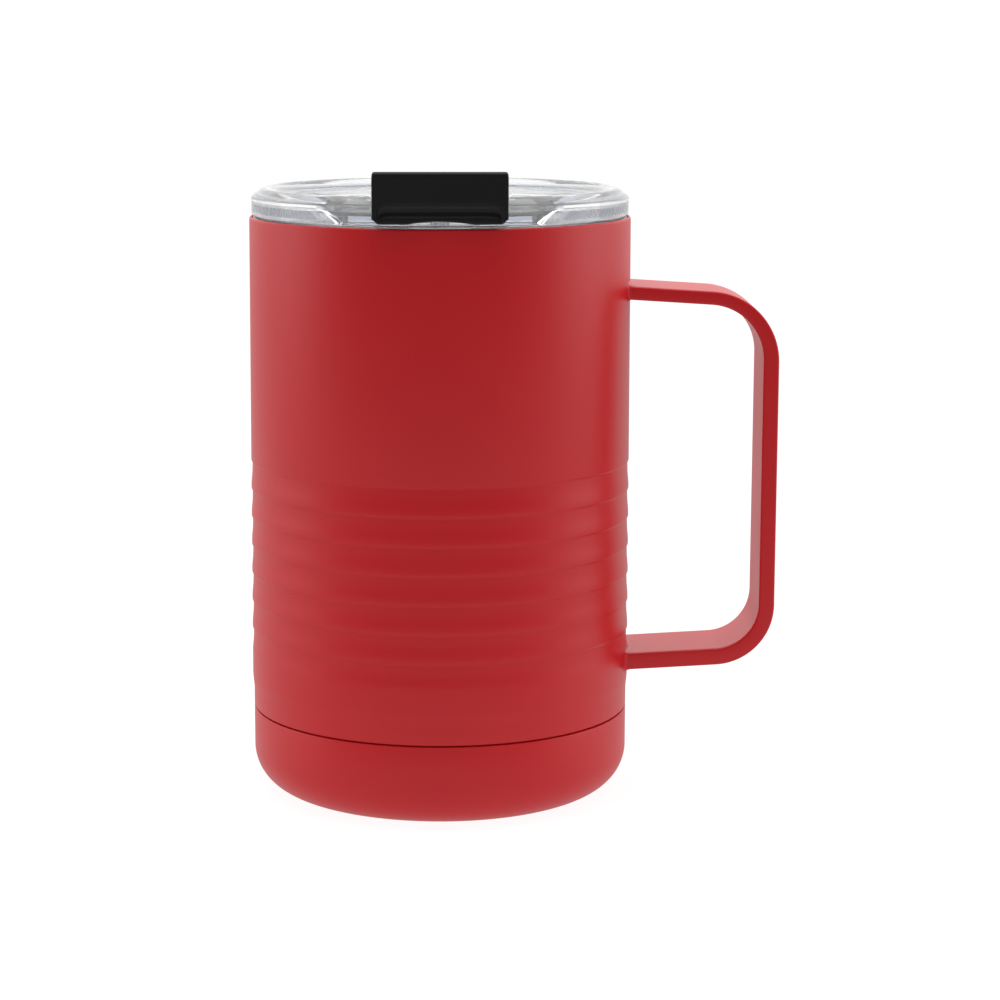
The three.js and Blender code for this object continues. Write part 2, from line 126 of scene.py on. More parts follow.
for box_name, (place, size, watts) in soft_boxes.items():
    light = bpy.data.lights.new(box_name, "AREA")
    light.size = size
    light.energy = watts
    lamp = bpy.data.objects.new(box_name, light)
    lamp.location = place
    aim = Vector((0, 0, 0.07)) - Vector(place)
    lamp.rotation_euler = aim.to_track_quat("-Z", "Y").to_euler()
    lamp.visible_camera = False
    bpy.context.collection.objects.link(lamp)

world = bpy.data.worlds.new("tent")
world.use_nodes = True
bpy.context.scene.world = world
sky = world.node_tree
sky.nodes.clear()
sky_out = sky.nodes.new("ShaderNodeOutputWorld")
sky_mix = sky.nodes.new("ShaderNodeMixShader")
sky_plain = sky.nodes.new("ShaderNodeBackground")
sky_plain.inputs["Color"].default_value = (1, 1, 1, 1)
sky_plain.inputs["Strength"].default_value = room_seen
sky_room = sky.nodes.new("ShaderNodeBackground")
sky_room.inputs["Color"].default_value = (1, 1, 1, 1)
sky_ray = sky.nodes.new("ShaderNodeLightPath")
sky_seen = sky.nodes.new("ShaderNodeMath")
sky_seen.operation = "MAXIMUM"
sky_way = sky.nodes.new("ShaderNodeTexCoord")
sky_split = sky.nodes.new("ShaderNodeSeparateXYZ")
sky_range = sky.nodes.new("ShaderNodeMapRange")
sky_range.interpolation_type = "SMOOTHSTEP"
sky_range.inputs["From Min"].default_value = -0.9
sky_range.inputs["From Max"].default_value = 0.75
sky_range.inputs["To Min"].default_value = room_front
sky_range.inputs["To Max"].default_value = room_back
sky.links.new(sky_way.outputs["Generated"], sky_split.inputs[0])
sky.links.new(sky_split.outputs["Y"], sky_range.inputs["Value"])
sky_lid = sky.nodes.new("ShaderNodeMath")
sky_lid.operation = "MULTIPLY"
sky_lid.use_clamp = True
sky_lid.inputs[1].default_value = room_in_lid
sky_soft = sky.nodes.new("ShaderNodeMath")
sky_soft.operation = "MULTIPLY"
sky_soft.inputs[1].default_value = room_soft
sky_least = sky.nodes.new("ShaderNodeMath")
sky_least.operation = "MAXIMUM"
sky_light = sky.nodes.new("ShaderNodeMath")
sky_light.operation = "MAXIMUM"
sky.links.new(sky_ray.outputs["Transmission Depth"], sky_lid.inputs[0])
sky.links.new(sky_ray.outputs["Is Diffuse Ray"], sky_soft.inputs[0])
sky.links.new(sky_lid.outputs[0], sky_least.inputs[0])
sky.links.new(sky_soft.outputs[0], sky_least.inputs[1])
sky.links.new(sky_least.outputs[0], sky_light.inputs[0])
sky.links.new(sky_range.outputs["Result"], sky_light.inputs[1])
sky.links.new(sky_light.outputs[0], sky_room.inputs["Strength"])
sky.links.new(sky_ray.outputs["Is Camera Ray"], sky_seen.inputs[0])
sky.links.new(sky_ray.outputs["Is Transmission Ray"], sky_seen.inputs[1])
sky.links.new(sky_seen.outputs[0], sky_mix.inputs[0])
sky.links.new(sky_room.outputs[0], sky_mix.inputs[1])
sky.links.new(sky_plain.outputs[0], sky_mix.inputs[2])
sky.links.new(sky_mix.outputs[0], sky_out.inputs[0])

bpy.context.scene.view_settings.view_transform = "Standard"


# ---- Outer shell ----------------------------------------------------------------------------------
# The steel skin of the double wall, spun straight, with seven grip rings rolled in and a rounded lip.
# Outside it has a satin red powder coat.
shell_low, shell_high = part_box("outer_shell")
cap_low, cap_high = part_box("base_cap")
body_radius = cap_high.y  # at the lip and at the base cap
foot_radius = shell_high.y  # the shell widens very slightly down to its foot
foot_z = 27.5 * mm
neck_z = 23.5 * mm
rim_z = shell_high.z
seam_top = cap_high.z + 0.4 * mm
shell_wall = 0.6 * mm
lip_radius = 0.55 * mm
collar_radius = 43 * mm

ring_count = 7
ring_top_z = 78.2 * mm
ring_pitch = 6.6 * mm
ring_depth = 0.28 * mm
ring_section = [  # each ring, down from its sharp edge: (millimetres, share of the depth)
    (0, 0), (0.06, 0.05), (0.13, 0.25), (0.22, 0.68), (0.31, 0.93), (0.4, 1), (0.8, 1), (1.6, 0.97),
    (2.4, 0.9), (3.1, 0.78), (3.7, 0.62), (4.2, 0.45), (4.7, 0.28), (5.2, 0.13), (5.7, 0.03), (6.1, 0),
]

round_steps = 256


def arc(u, v, radius, start, end, steps):
    """Points on an arc about (u, v), angles in degrees."""
    angles = [math.radians(start + (end - start) * i / steps) for i in range(steps + 1)]
    return [(u + radius * math.cos(a), v + radius * math.sin(a)) for a in angles]


def smooth_step(low, high, x):
    t = min(max((x - low) / (high - low), 0), 1)
    return t * t * (3 - 2 * t)


def turned(outline, steps, closed=False):
    """A bmesh of an outline of (radius, z) points spun about Z."""
    bm = bmesh.new()
    verts = [bm.verts.new((max(r, 0), 0, z)) for r, z in outline]
    pairs = list(zip(verts, verts[1:]))
    if closed:
        pairs.append((verts[-1], verts[0]))
    edges = [bm.edges.new(pair) for pair in pairs]
    bmesh.ops.spin(
        bm, geom=verts + edges, cent=(0, 0, 0), axis=(0, 0, 1), dvec=(0, 0, 0),
        angle=2 * math.pi, steps=steps, use_merge=True,
    )
    bmesh.ops.remove_doubles(bm, verts=bm.verts, dist=1e-7)
    bmesh.ops.recalc_face_normals(bm, faces=bm.faces)
    return bm


def piece(name, bm, material, body, replaced=(), sharp=32):
    """Turns a finished bmesh into a piece that rides on a body."""
    mesh = bpy.data.meshes.new(name)
    bm.to_mesh(mesh)
    bm.free()
    mesh.shade_smooth()
    mesh.set_sharp_from_angle(angle=math.radians(sharp))
    mesh.materials.append(material)
    made = bpy.data.objects.new(name, mesh)
    bpy.context.collection.objects.link(made)
    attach(made, body)
    if replaced:
        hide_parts(*replaced)
    return made


def grain_group():
    """Fine moulded or sprayed grain, and broad soft patches, both from 0 to 1."""
    group = bpy.data.node_groups.new("surface_grain", "ShaderNodeTree")
    face = group.interface
    scale = face.new_socket("Grain Scale", in_out="INPUT", socket_type="NodeSocketFloat")
    scale.default_value = 2500
    patch = face.new_socket("Patch Scale", in_out="INPUT", socket_type="NodeSocketFloat")
    patch.default_value = 25
    face.new_socket("Grain", in_out="OUTPUT", socket_type="NodeSocketFloat")
    face.new_socket("Patch", in_out="OUTPUT", socket_type="NodeSocketFloat")
    start = group.nodes.new("NodeGroupInput")
    end = group.nodes.new("NodeGroupOutput")
    place = group.nodes.new("ShaderNodeTexCoord")
    fine = group.nodes.new("ShaderNodeTexNoise")
    broad = group.nodes.new("ShaderNodeTexNoise")
    fine.inputs["Detail"].default_value = 2
    broad.inputs["Detail"].default_value = 3
    group.links.new(place.outputs["Object"], fine.inputs["Vector"])
    group.links.new(place.outputs["Object"], broad.inputs["Vector"])
    group.links.new(start.outputs["Grain Scale"], fine.inputs["Scale"])
    group.links.new(start.outputs["Patch Scale"], broad.inputs["Scale"])
    group.links.new(fine.outputs["Fac"], end.inputs["Grain"])
    group.links.new(broad.outputs["Fac"], end.inputs["Patch"])
    return group


surface_grain = grain_group()


def grained(name, dark, light, rough, grain_scale, grain_depth, patch_scale=25, strength=0.5, gloss=0.5):
    """A material whose colour and roughness drift softly and whose surface has a fine grain."""
    material = bpy.data.materials.new(name)
    material.use_nodes = True
    tree = material.node_tree
    shader = tree.nodes["Principled BSDF"]
    grain = tree.nodes.new("ShaderNodeGroup")
    grain.node_tree = surface_grain
    grain.inputs["Grain Scale"].default_value = grain_scale
    grain.inputs["Patch Scale"].default_value = patch_scale
    mix = tree.nodes.new("ShaderNodeMix")
    mix.data_type = "RGBA"
    mix.inputs["A"].default_value = (*dark, 1)
    mix.inputs["B"].default_value = (*light, 1)
    spread = tree.nodes.new("ShaderNodeMapRange")
    spread.inputs["To Min"].default_value = rough[0]
    spread.inputs["To Max"].default_value = rough[1]
    bump = tree.nodes.new("ShaderNodeBump")
    bump.inputs["Strength"].default_value = strength
    bump.inputs["Distance"].default_value = grain_depth
    shader.inputs["Specular IOR Level"].default_value = gloss
    tree.links.new(grain.outputs["Patch"], mix.inputs["Factor"])
    tree.links.new(grain.outputs["Patch"], spread.inputs["Value"])
    tree.links.new(mix.outputs["Result"], shader.inputs["Base Color"])
    tree.links.new(spread.outputs["Result"], shader.inputs["Roughness"])
    tree.links.new(grain.outputs["Grain"], bump.inputs["Height"])
    tree.links.new(bump.outputs["Normal"], shader.inputs["Normal"])
    return material


red_coat = grained(
    "red_coat", dark=(0.66, 0.004, 0.008), light=(0.71, 0.0055, 0.011), rough=(0.34, 0.42),
    grain_scale=2600, grain_depth=0.02 * mm, patch_scale=30, gloss=0.5,
)


def shell_radius(height):
    return body_radius + (foot_radius - body_radius) * (rim_z - height) / (rim_z - foot_z)


def shell_outline():
    edge = 0.2 * mm
    inner = body_radius - shell_wall
    collar_low = shell_low.z
    outline = [(collar_radius, collar_low), (collar_radius, seam_top)]
    outline += arc(body_radius - edge, seam_top + edge, edge, -90, 0, 3)
    for i in range(7):
        height = neck_z + (foot_z - neck_z) * i / 6
        step = (foot_radius - body_radius) * smooth_step(neck_z, foot_z, height)
        outline.append((body_radius + step, height))
    for ring in reversed(range(ring_count)):
        edge_z = ring_top_z - ring * ring_pitch
        for down, share in reversed(ring_section):
            height = edge_z - down * mm
            outline.append((shell_radius(height) - ring_depth * share, height))
    outline += arc(body_radius - lip_radius, rim_z - lip_radius, lip_radius, 0, 90, 6)
    outline += [(inner, rim_z - 0.1 * mm), (foot_radius - shell_wall, foot_z)]
    outline += [(inner, neck_z), (inner, seam_top + 1.2 * mm)]
    outline += [(collar_radius - shell_wall, seam_top - 0.3 * mm)]
    outline += [(collar_radius - shell_wall, collar_low)]
    return outline


piece(
    "outer_shell_skin", turned(shell_outline(), round_steps, closed=True), red_coat,
    "cup", replaced=["outer_shell"],
)


# ---- Base cap -------------------------------------------------------------------------------------
# A drawn steel cup bonded over the necked end of the shell, below the seam. It has the same red coat.
cap_corner = 10 * mm
cap_wall = 0.7 * mm


def cap_outline():
    edge = 0.2 * mm
    top = cap_high.z
    corner = body_radius - cap_corner
    outline = [(0, 0), (22.6 * mm, 0)]
    outline += arc(24.5 * mm, -1.8 * mm, 2.3 * mm, 128, 52, 8)
    outline += [(26.4 * mm, 0)]
    outline += arc(corner, cap_corner, cap_corner, -90, 0, 24)
    outline += arc(body_radius - edge, top - edge, edge, 0, 90, 3)
    outline += [(body_radius - cap_wall, top)]
    outline += arc(corner, cap_corner, cap_corner - cap_wall, 0, -90, 12)
    outline += [(0, cap_wall)]
    return outline


piece(
    "base_cap_skin", turned(cap_outline(), round_steps), red_coat, "cup",
    replaced=["base_cap"],
)

# ---- Inner liner ----------------------------------------------------------------------------------
# The cup that holds the drink, drawn from bare stainless steel. Its bore is straight, its mouth flares
# out to the shell's lip, where the two are welded and polished, and its bottom has a wide round corner.
liner_low, liner_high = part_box("inner_liner")
liner_bore = 40.2 * mm
liner_wall = 0.5 * mm
liner_floor = liner_low.z + liner_wall
liner_corner = 9.2 * mm
mouth_radius = 42.5 * mm
flare_low = rim_z - 7.4 * mm
flare_high = rim_z - 1.2 * mm


def liner_outline():
    corner = liner_bore - liner_corner
    corner_z = liner_floor + liner_corner
    lip_outer = liner_high.x
    outline = [(0, liner_low.z)]
    outline += arc(corner, corner_z, liner_corner + liner_wall, -90, 0, 16)
    flare_steps = 8
    for i in range(flare_steps + 1):
        t = i / flare_steps
        height = flare_low - 0.6 * mm + (flare_high - flare_low + 0.6 * mm) * t
        reach = liner_bore + liner_wall
        outline.append((reach + (lip_outer - reach) * smooth_step(0, 1, t), height))
    half_lip = (lip_outer - mouth_radius) / 2
    outline += arc(mouth_radius + half_lip, rim_z - half_lip, half_lip, 0, 180, 6)
    for i in range(flare_steps + 1):
        t = 1 - i / flare_steps
        height = flare_low + (flare_high - flare_low) * t
        outline.append((liner_bore + (mouth_radius - liner_bore) * smooth_step(0, 1, t), height))
    outline += arc(corner, corner_z, liner_corner, 0, -90, 16)
    outline += [(12 * mm, liner_floor), (11.2 * mm, liner_floor + 0.25 * mm)]
    outline += [(2 * mm, liner_floor + 0.3 * mm), (0, liner_floor + 0.3 * mm)]
    return outline


def turned_lines_group():
    """Fine lines that run round Z, as a polishing wheel leaves them, from 0 to 1."""
    group = bpy.data.node_groups.new("turned_lines", "ShaderNodeTree")
    face = group.interface
    scale = face.new_socket("Line Scale", in_out="INPUT", socket_type="NodeSocketFloat")
    scale.default_value = 4000
    face.new_socket("Lines", in_out="OUTPUT", socket_type="NodeSocketFloat")
    start = group.nodes.new("NodeGroupInput")
    end = group.nodes.new("NodeGroupOutput")
    place = group.nodes.new("ShaderNodeTexCoord")
    split = group.nodes.new("ShaderNodeSeparateXYZ")
    across = group.nodes.new("ShaderNodeVectorMath")
    across.operation = "MULTIPLY"
    across.inputs[1].default_value = (1, 1, 0)
    reach = group.nodes.new("ShaderNodeVectorMath")
    reach.operation = "LENGTH"
    sweep = group.nodes.new("ShaderNodeMath")
    sweep.operation = "ADD"
    fine = group.nodes.new("ShaderNodeMath")
    fine.operation = "MULTIPLY"
    spread = group.nodes.new("ShaderNodeVectorMath")
    spread.operation = "SCALE"
    spread.inputs["Scale"].default_value = 18
    gather = group.nodes.new("ShaderNodeCombineXYZ")
    join = group.nodes.new("ShaderNodeVectorMath")
    join.operation = "ADD"
    noise = group.nodes.new("ShaderNodeTexNoise")
    noise.inputs["Scale"].default_value = 1
    noise.inputs["Detail"].default_value = 3
    group.links.new(place.outputs["Object"], split.inputs[0])
    group.links.new(place.outputs["Object"], across.inputs[0])
    group.links.new(across.outputs["Vector"], reach.inputs[0])
    group.links.new(split.outputs["Z"], sweep.inputs[0])
    group.links.new(reach.outputs["Value"], sweep.inputs[1])
    group.links.new(sweep.outputs[0], fine.inputs[0])
    group.links.new(start.outputs["Line Scale"], fine.inputs[1])
    group.links.new(across.outputs["Vector"], spread.inputs[0])
    group.links.new(fine.outputs[0], gather.inputs["Z"])
    group.links.new(spread.outputs["Vector"], join.inputs[0])
    group.links.new(gather.outputs[0], join.inputs[1])
    group.links.new(join.outputs["Vector"], noise.inputs["Vector"])
    group.links.new(noise.outputs["Fac"], end.inputs["Lines"])
    return group


turned_lines = turned_lines_group()


def spun_steel(name, line_scale, rough):
    """Bare stainless steel with polishing lines round Z."""
    material = bpy.data.materials.new(name)
    material.use_nodes = True
    tree = material.node_tree
    shader = tree.nodes["Principled BSDF"]
    shader.inputs["Metallic"].default_value = 1
    lines = tree.nodes.new("ShaderNodeGroup")
    lines.node_tree = turned_lines
    lines.inputs["Line Scale"].default_value = line_scale
    tint = tree.nodes.new("ShaderNodeMix")
    tint.data_type = "RGBA"
    tint.inputs["A"].default_value = (0.60, 0.60, 0.61, 1)
    tint.inputs["B"].default_value = (0.72, 0.72, 0.73, 1)
    spread = tree.nodes.new("ShaderNodeMapRange")
    spread.inputs["To Min"].default_value = rough[0]
    spread.inputs["To Max"].default_value = rough[1]
    bump = tree.nodes.new("ShaderNodeBump")
    bump.inputs["Strength"].default_value = 0.25
    bump.inputs["Distance"].default_value = 0.01 * mm
    tree.links.new(lines.outputs["Lines"], tint.inputs["Factor"])
    tree.links.new(lines.outputs["Lines"], spread.inputs["Value"])
    tree.links.new(lines.outputs["Lines"], bump.inputs["Height"])
    tree.links.new(tint.outputs["Result"], shader.inputs["Base Color"])
    tree.links.new(spread.outputs["Result"], shader.inputs["Roughness"])
    tree.links.new(bump.outputs["Normal"], shader.inputs["Normal"])
    return material


bare_steel = spun_steel("bare_steel", 5200, (0.2, 0.34))

piece(
    "inner_liner_skin", turned(liner_outline(), round_steps), bare_steel, "cup",
    replaced=["inner_liner"],
)


# ---- Vacuum jacket --------------------------------------------------------------------------------
# What is sealed between the two walls: copper-backed foil round the liner, a steel bottom with a bead of
# sealing glass, and a pellet in a steel cup that soaks up stray gas.
foil = grained(
    "foil", dark=(0.66, 0.67, 0.69), light=(0.80, 0.81, 0.82), rough=(0.12, 0.28),
    grain_scale=420, grain_depth=0.25 * mm, patch_scale=60,
)
foil.node_tree.nodes["Principled BSDF"].inputs["Metallic"].default_value = 1
sintered_metal = grained(
    "sintered_metal", dark=(0.06, 0.06, 0.065), light=(0.16, 0.16, 0.17), rough=(0.7, 0.9),
    grain_scale=3200, grain_depth=0.08 * mm, patch_scale=900, strength=0.8,
)
sintered_metal.node_tree.nodes["Principled BSDF"].inputs["Metallic"].default_value = 0.6
seal_glass = grained(
    "seal_glass", dark=(0.13, 0.17, 0.14), light=(0.21, 0.25, 0.21), rough=(0.08, 0.2),
    grain_scale=700, grain_depth=0.05 * mm, patch_scale=300,
)
bond_rubber = grained(
    "bond_rubber", dark=(0.60, 0.58, 0.53), light=(0.72, 0.70, 0.65), rough=(0.6, 0.8),
    grain_scale=900, grain_depth=0.12 * mm, patch_scale=120,
)


def finish_node(name, material):
    """Gives a node of the frame its finish."""
    mesh = nodes[name].data
    mesh.materials.clear()
    mesh.materials.append(material)


finish_node("foil_wrap", foil)
finish_node("vacuum_bottom", bare_steel)
finish_node("vacuum_seal_bead", seal_glass)
finish_node("getter_holder", bare_steel)
finish_node("getter_pellet", sintered_metal)
finish_node("cap_bond_ring", bond_rubber)


# ---- Handle ---------------------------------------------------------------------------------------
# A flat steel strap bent at two round corners, with its long edges eased, under the same red coat. Its
# ends are cut to the curve of the shell.
strap_low, strap_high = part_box("handle_strap")
strap_half = strap_high.y
grip_thickness = 3.6 * mm
strap_edge = 0.5 * mm
strap_slices = 12
upper_arm = {"top": 119.15 * mm, "slope": -0.065, "thickness": 3.1 * mm, "corner": 16.4 * mm}
lower_arm = {"top": 33.15 * mm, "slope": 0.06, "thickness": 3.9 * mm, "corner": 14.2 * mm}
strap_root = body_radius - 0.3 * mm


def strap_side(upper_z, lower_z, grip_x, inset):
    """One side of the bent strap as (x, z) points, from its upper end to its lower end."""
    up, low = upper_arm["slope"], lower_arm["slope"]
    upper_radius = upper_arm["corner"] - inset
    lower_radius = lower_arm["corner"] - inset
    upper_x = grip_x - upper_radius
    lower_x = grip_x - lower_radius
    upper_centre = upper_z + up * (upper_x - body_radius) - upper_radius * math.hypot(1, up)
    lower_centre = lower_z + low * (lower_x - body_radius) + lower_radius * math.hypot(1, low)
    points = [(strap_root, upper_z + up * (strap_root - body_radius))]
    points += arc(upper_x, upper_centre, upper_radius, 90 + math.degrees(math.atan(up)), 0, 24)
    points += arc(lower_x, lower_centre, lower_radius, 0, -90 + math.degrees(math.atan(low)), 24)
    points.append((strap_root, lower_z + low * (strap_root - body_radius)))
    return points


def handle_strap():
    outside = strap_side(
        upper_arm["top"], lower_arm["top"] - lower_arm["thickness"], strap_high.x, 0,
    )
    inside = strap_side(
        upper_arm["top"] - upper_arm["thickness"], lower_arm["top"], strap_high.x - grip_thickness,
        grip_thickness,
    )
    bm = bmesh.new()
    chain = []
    for side in (outside, inside):
        verts = [bm.verts.new((x, -strap_half, z)) for x, z in side]
        chain += [bm.edges.new(pair) for pair in zip(verts, verts[1:])]
    faces = bmesh.ops.bridge_loops(bm, edges=chain)["faces"]
    for _ in range(strap_slices):
        grown = bmesh.ops.extrude_face_region(bm, geom=faces)["geom"]
        faces = [part for part in grown if isinstance(part, bmesh.types.BMFace)]
        moved = [part for part in grown if isinstance(part, bmesh.types.BMVert)]
        bmesh.ops.translate(bm, verts=moved, vec=(0, 2 * strap_half / strap_slices, 0))
    bmesh.ops.recalc_face_normals(bm, faces=bm.faces)
    long_edges = [
        edge for edge in bm.edges
        if edge.calc_face_angle(0) > 1.2 and abs(edge.verts[0].co.y - edge.verts[1].co.y) < 1e-6
        and max(vert.co.x for vert in edge.verts) > strap_root + 1e-6
    ]
    bmesh.ops.bevel(
        bm, geom=long_edges, offset=strap_edge, offset_type="OFFSET", affect="EDGES", segments=4,
        profile=0.5, material=-1, clamp_overlap=True,
    )
    for vert in bm.verts:
        if vert.co.x < strap_root + 1e-5:
            vert.co.x = math.sqrt(strap_root ** 2 - vert.co.y ** 2)
    return bm


piece("handle_strap_bar", handle_strap(), red_coat, "cup", replaced=["handle_strap"])


# ---- Handle welds ---------------------------------------------------------------------------------
# A small hollow fillet of weld all round each end of the strap, ground smooth and coated with it.
weld_leg = 1.1 * mm
weld_steps = 6


def round_rectangle(half_u, half_v, corner, corner_steps=6, side_steps=8):
    """Points of a round-cornered rectangle about (0, 0), counter-clockwise."""
    points = []
    middles = [(1, -1, -90), (1, 1, 0), (-1, 1, 90), (-1, -1, 180)]
    for sign_u, sign_v, start in middles:
        centre = (sign_u * (half_u - corner), sign_v * (half_v - corner))
        turn = arc(*centre, corner, start, start + 90, corner_steps)
        if points:
            last = points[-1]
            points += [
                (last[0] + (turn[0][0] - last[0]) * i / side_steps, last[1] + (turn[0][1] - last[1]) * i / side_steps)
                for i in range(1, side_steps)
            ]
        points += turn
    first, last = points[0], points[-1]
    points += [
        (last[0] + (first[0] - last[0]) * i / side_steps, last[1] + (first[1] - last[1]) * i / side_steps)
        for i in range(1, side_steps)
    ]
    return points


def stacked(rows, ends="caps"):
    """A bmesh of closed rows of points bridged in order, its ends capped or joined to each other."""
    bm = bmesh.new()
    loops = []
    for row in rows:
        verts = [bm.verts.new(point) for point in row]
        loops.append([bm.edges.new(pair) for pair in zip(verts, verts[1:] + verts[:1])])
    joined = list(zip(loops, loops[1:]))
    if ends == "joined":
        joined.append((loops[-1], loops[0]))
    for lower, upper in joined:
        bmesh.ops.bridge_loops(bm, edges=lower + upper)
    if ends == "caps":
        bmesh.ops.holes_fill(bm, edges=loops[0] + loops[-1], sides=0)
    bmesh.ops.recalc_face_normals(bm, faces=bm.faces)
    return bm


def handle_weld(arm):
    middle = arm["top"] - arm["thickness"] / 2
    rows = []
    for out, height in [(weld_leg, -0.2 * mm)] + [
        (weld_leg - u, v) for u, v in (
            (weld_leg * math.sin(a), weld_leg - weld_leg * math.cos(a))
            for a in (math.pi / 2 * i / weld_steps for i in range(weld_steps + 1))
        )
    ] + [(-0.2 * mm, weld_leg), (-0.2 * mm, -0.2 * mm)]:
        outline = round_rectangle(
            strap_half + out, arm["thickness"] / 2 + out, strap_edge + max(out, 0) + 0.1 * mm,
        )
        rows.append([
            (math.sqrt(shell_radius(middle) ** 2 - y ** 2) + height, y, middle + z) for y, z in outline
        ])
    return stacked(rows, ends="joined")


for weld_name, arm in (("handle_weld_upper", upper_arm), ("handle_weld_lower", lower_arm)):
    piece(weld_name + "_fillet", handle_weld(arm), red_coat, "cup", replaced=[weld_name])


# ---- Lid moulding ---------------------------------------------------------------------------------
# One clear plastic moulding of even wall: a rolled rim that rests on the cup's lip, a dished top with a
# channel for the lever, a drinking well with the sip slot, a vent hole and two ears for the hinge pin.
lid_low, lid_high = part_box("lid_top")
lid_under = lid_low.z
flange_radius = lid_high.y
flange_z = rim_z + 0.35 * mm
crest_radius = 40.2 * mm
crest_z = 141.2 * mm
plateau_z = 139.3 * mm
well_z = 136.8 * mm
lid_skin = 2.1 * mm
well_angle = 39  # degrees to each side of the front
well_lean = 9  # degrees by which the rim's hollow runs further forward at its foot
frost_low = 135.8 * mm  # the walls of the rim's hollow are frosted above this
channel_half = 15.1 * mm
channel_back = 20 * mm
pin_low, pin_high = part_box("hinge_pin")
hinge_y = (pin_low.y + pin_high.y) / 2
hinge_z = (pin_low.z + pin_high.z) / 2
barrel_radius = 2.4 * mm
ear_inner = 10.6 * mm  # the ears stand in the channel, behind the lever's wide front
ear_thickness = 2.4 * mm
slot_y = -32 * mm
slot_half = (8 * mm, 3 * mm)
vent_y = -14 * mm
vent_radius = 1.5 * mm
lid_steps = 240


def lid_outline():
    outline = [(0, lid_under), (39.4 * mm, lid_under), (39.6 * mm, lid_under + 0.2 * mm)]
    outline += [(39.6 * mm, flange_z), (42.9 * mm, flange_z)]
    outline += arc(flange_radius - 0.5 * mm, flange_z + 0.5 * mm, 0.5 * mm, -80, 0, 4)
    outline += arc(flange_radius - 0.75 * mm, 139.05 * mm, 0.75 * mm, 0, 58, 8)
    outline += arc(40.2 * mm, crest_z - 2.6 * mm, 2.6 * mm, 58, 90, 8)
    roll_low = 35.4 * mm
    for i in range(1, 13):
        t = i / 12
        radius = crest_radius + (roll_low - crest_radius) * t
        outline.append((radius, crest_z - (crest_z - plateau_z) * smooth_step(0, 1, t)))
    outline.append((0, plateau_z))
    return outline


def sector(outline, start, end, steps):
    """A closed (radius, z) outline swept about Z between two angles, in degrees."""
    bm = bmesh.new()
    verts = [bm.verts.new((r, 0, z)) for r, z in outline]
    edges = [bm.edges.new(pair) for pair in zip(verts, verts[1:] + verts[:1])]
    bmesh.ops.holes_fill(bm, edges=edges, sides=0)
    bmesh.ops.rotate(
        bm, verts=verts, cent=(0, 0, 0), matrix=Matrix.Rotation(math.radians(start), 3, "Z"),
    )
    bmesh.ops.spin(
        bm, geom=bm.verts[:] + bm.edges[:] + bm.faces[:], cent=(0, 0, 0), axis=(0, 0, 1),
        dvec=(0, 0, 0), angle=math.radians(end - start), steps=steps, use_merge=False,
    )
    bmesh.ops.recalc_face_normals(bm, faces=bm.faces)
    return bm


def slug(half_u, half_v, corner, y, rows):
    """Round-cornered rows stacked in Z about (0, y), each (z, how far it stands out)."""
    return stacked([
        [(u, y + v, z) for u, v in round_rectangle(half_u + out, half_v + out, corner + out)]
        for z, out in rows
    ])


def channel_rows(margin, low, high):
    half_y = (channel_back + 34 * mm) / 2
    rows = [(low, margin)]
    if margin == 0:
        rows = [(low, -0.6 * mm), (low + 0.18 * mm, -0.18 * mm), (low + 0.6 * mm, 0)]
        rows += [(137.7 * mm, 0), (138.2 * mm, 0.12 * mm), (138.7 * mm, 0.45 * mm)]
        rows += [(139.0 * mm, 0.9 * mm), (139.2 * mm, 1.6 * mm), (139.3 * mm, 2.6 * mm)]
        rows += [(139.36 * mm, 4 * mm)]
    rows.append((high, rows[-1][1]))
    return slug(channel_half, half_y, 4 * mm, channel_back - half_y, rows)


def well_cutter():
    profile = [(27.5, 136.8), (36.2, 136.8), (36.8, 136.9), (37.35, 137.2), (37.75, 137.7)]
    profile += [(38.05, 138.4), (38.25, 139.2), (38.4, 139.9), (38.65, 140.5), (39.05, 140.9)]
    profile += [(39.6, 141.15), (39.9, 141.6), (27.5, 141.6)]
    outline = [(r * mm, z * mm) for r, z in profile]
    bm = sector(outline, -90 - well_angle, -90 + well_angle, 48)
    for vert in bm.verts:
        lift = (vert.co.z - well_z) / (crest_z - well_z)
        turn = math.degrees(math.atan2(vert.co.x, -vert.co.y)) / well_angle
        open_more = 5 * lift ** 1.6 - 3 * (1 - lift) ** 3
        angle = math.radians(open_more * abs(turn) ** 6 * math.copysign(1, turn))
        bmesh.ops.rotate(bm, verts=[vert], cent=(0, 0, 0), matrix=Matrix.Rotation(angle, 3, "Z"))
    return bm


def rim_hollow_cutter():
    low, high = flange_z - 1 * mm, 138.2 * mm
    outline = [(39.6 * mm, low), (41.6 * mm, low), (41.6 * mm, frost_low)]
    outline += [(41.6 * mm, high - 0.5 * mm), (41.1 * mm, high), (40.1 * mm, high)]
    outline += [(39.6 * mm, high - 0.5 * mm), (39.6 * mm, frost_low)]
    bm = sector(outline, -90 + well_angle, 270 - well_angle, 180)
    for vert in bm.verts:
        turn = math.degrees(math.atan2(vert.co.x, -vert.co.y))
        past = (abs(turn) - well_angle) / 12
        if past > 1:
            continue
        drop = min((high - vert.co.z) / (high - flange_z), 1)
        lean = -well_lean * drop ** 0.7 * (1 - past) * math.copysign(1, turn)
        turned_by = Matrix.Rotation(math.radians(lean), 3, "Z")
        bmesh.ops.rotate(bm, verts=[vert], cent=(0, 0, 0), matrix=turned_by)
    return bm


def dish_cutter():
    low, top = lid_under - 1 * mm, plateau_z - lid_skin
    return turned([
        (0, low), (34.8 * mm, low), (34.8 * mm, top - 0.8 * mm), (34.56 * mm, top - 0.24 * mm),
        (34 * mm, top), (0, top),
    ], lid_steps)


